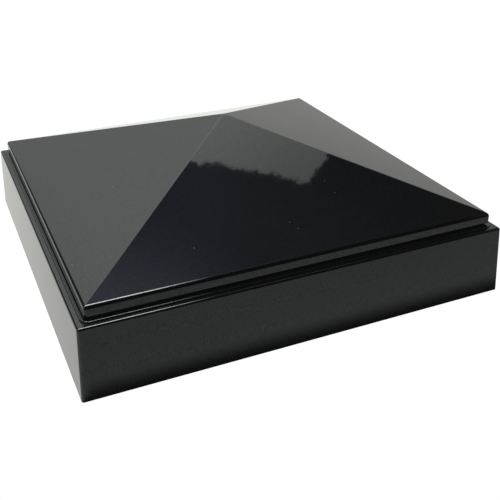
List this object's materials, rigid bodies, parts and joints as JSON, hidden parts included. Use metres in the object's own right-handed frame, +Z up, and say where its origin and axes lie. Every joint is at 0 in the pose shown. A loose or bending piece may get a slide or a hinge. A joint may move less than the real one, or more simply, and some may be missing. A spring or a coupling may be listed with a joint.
{
  "type": "fence post cap",
  "caption": "Square pyramid cap that slips over a timber fence post: cast skirt frame, screwed-on hollow roof, gasket, and set screws that clamp the post.",
  "frame": {"origin": "centre of the bottom rim of the skirt", "axes": "+Z up through the point of the roof, front skirt face towards -Y, clamp faces towards +X and +Y"},
  "size_m": [0.154, 0.154, 0.0549],
  "materials": {
    "powder_coat": "gloss black powder coat with fine orange peel over die-cast aluminium",
    "black_rubber": "matt black EPDM rubber",
    "stainless_steel": "plain stainless steel, machined",
    "brass": "turned brass",
    "nylon": "natural nylon"
  },
  "bodies": {
    "cap": {"base_casting": "powder_coat", "roof_gasket": "black_rubber", "roof_casting": "powder_coat", "roof_screw_front_left": "stainless_steel", "roof_washer_front_left": "nylon", "roof_screw_front_right": "stainless_steel", "roof_washer_front_right": "nylon", "roof_screw_rear_right": "stainless_steel", "roof_washer_rear_right": "nylon", "roof_screw_rear_left": "stainless_steel", "roof_washer_rear_left": "nylon", "seat_pad_front": "black_rubber", "seat_pad_right": "black_rubber", "seat_pad_rear": "black_rubber", "seat_pad_left": "black_rubber", "clamp_insert_right_front": "brass", "clamp_insert_right_rear": "brass", "clamp_insert_rear_right": "brass", "clamp_insert_rear_left": "brass"},
    "pressure_pad_right_front": {"clamp_pad_right_front": "nylon"},
    "set_screw_right_front": {"clamp_screw_right_front": "stainless_steel"},
    "pressure_pad_right_rear": {"clamp_pad_right_rear": "nylon"},
    "set_screw_right_rear": {"clamp_screw_right_rear": "stainless_steel"},
    "pressure_pad_rear_right": {"clamp_pad_rear_right": "nylon"},
    "set_screw_rear_right": {"clamp_screw_rear_right": "stainless_steel"},
    "pressure_pad_rear_left": {"clamp_pad_rear_left": "nylon"},
    "set_screw_rear_left": {"clamp_screw_rear_left": "stainless_steel"}
  },
  "joints": [
    {"name": "clamp_press_right_front", "type": "slide", "parent": "cap", "child": "pressure_pad_right_front", "axis": [-1, 0, 0], "range_m": [-0.0012, 0.0022]},
    {"name": "clamp_turn_right_front", "type": "hinge", "parent": "pressure_pad_right_front", "child": "set_screw_right_front", "pos_m": [0.0733, -0.038, 0.0105], "axis": [-1, 0, 0], "range_deg": [-432.5, 792.5]},
    {"name": "clamp_press_right_rear", "type": "slide", "parent": "cap", "child": "pressure_pad_right_rear", "axis": [-1, 0, 0], "range_m": [-0.0012, 0.0022]},
    {"name": "clamp_turn_right_rear", "type": "hinge", "parent": "pressure_pad_right_rear", "child": "set_screw_right_rear", "pos_m": [0.0733, 0.038, 0.0105], "axis": [-1, 0, 0], "range_deg": [-432.5, 792.5]},
    {"name": "clamp_press_rear_right", "type": "slide", "parent": "cap", "child": "pressure_pad_rear_right", "axis": [0, -1, 0], "range_m": [-0.0012, 0.0022]},
    {"name": "clamp_turn_rear_right", "type": "hinge", "parent": "pressure_pad_rear_right", "child": "set_screw_rear_right", "pos_m": [0.038, 0.0733, 0.0105], "axis": [0, -1, 0], "range_deg": [-432.5, 792.5]},
    {"name": "clamp_press_rear_left", "type": "slide", "parent": "cap", "child": "pressure_pad_rear_left", "axis": [0, -1, 0], "range_m": [-0.0012, 0.0022]},
    {"name": "clamp_turn_rear_left", "type": "hinge", "parent": "pressure_pad_rear_left", "child": "set_screw_rear_left", "pos_m": [-0.038, 0.0733, 0.0105], "axis": [0, -1, 0], "range_deg": [-432.5, 792.5]}
  ],
  "couplings": [
    {"joint": "clamp_turn_right_front", "follows": "clamp_press_right_front", "rad_per_m": 6283.2},
    {"joint": "clamp_turn_right_rear", "follows": "clamp_press_right_rear", "rad_per_m": 6283.2},
    {"joint": "clamp_turn_rear_right", "follows": "clamp_press_rear_right", "rad_per_m": 6283.2},
    {"joint": "clamp_turn_rear_left", "follows": "clamp_press_rear_left", "rad_per_m": 6283.2}
  ]
}
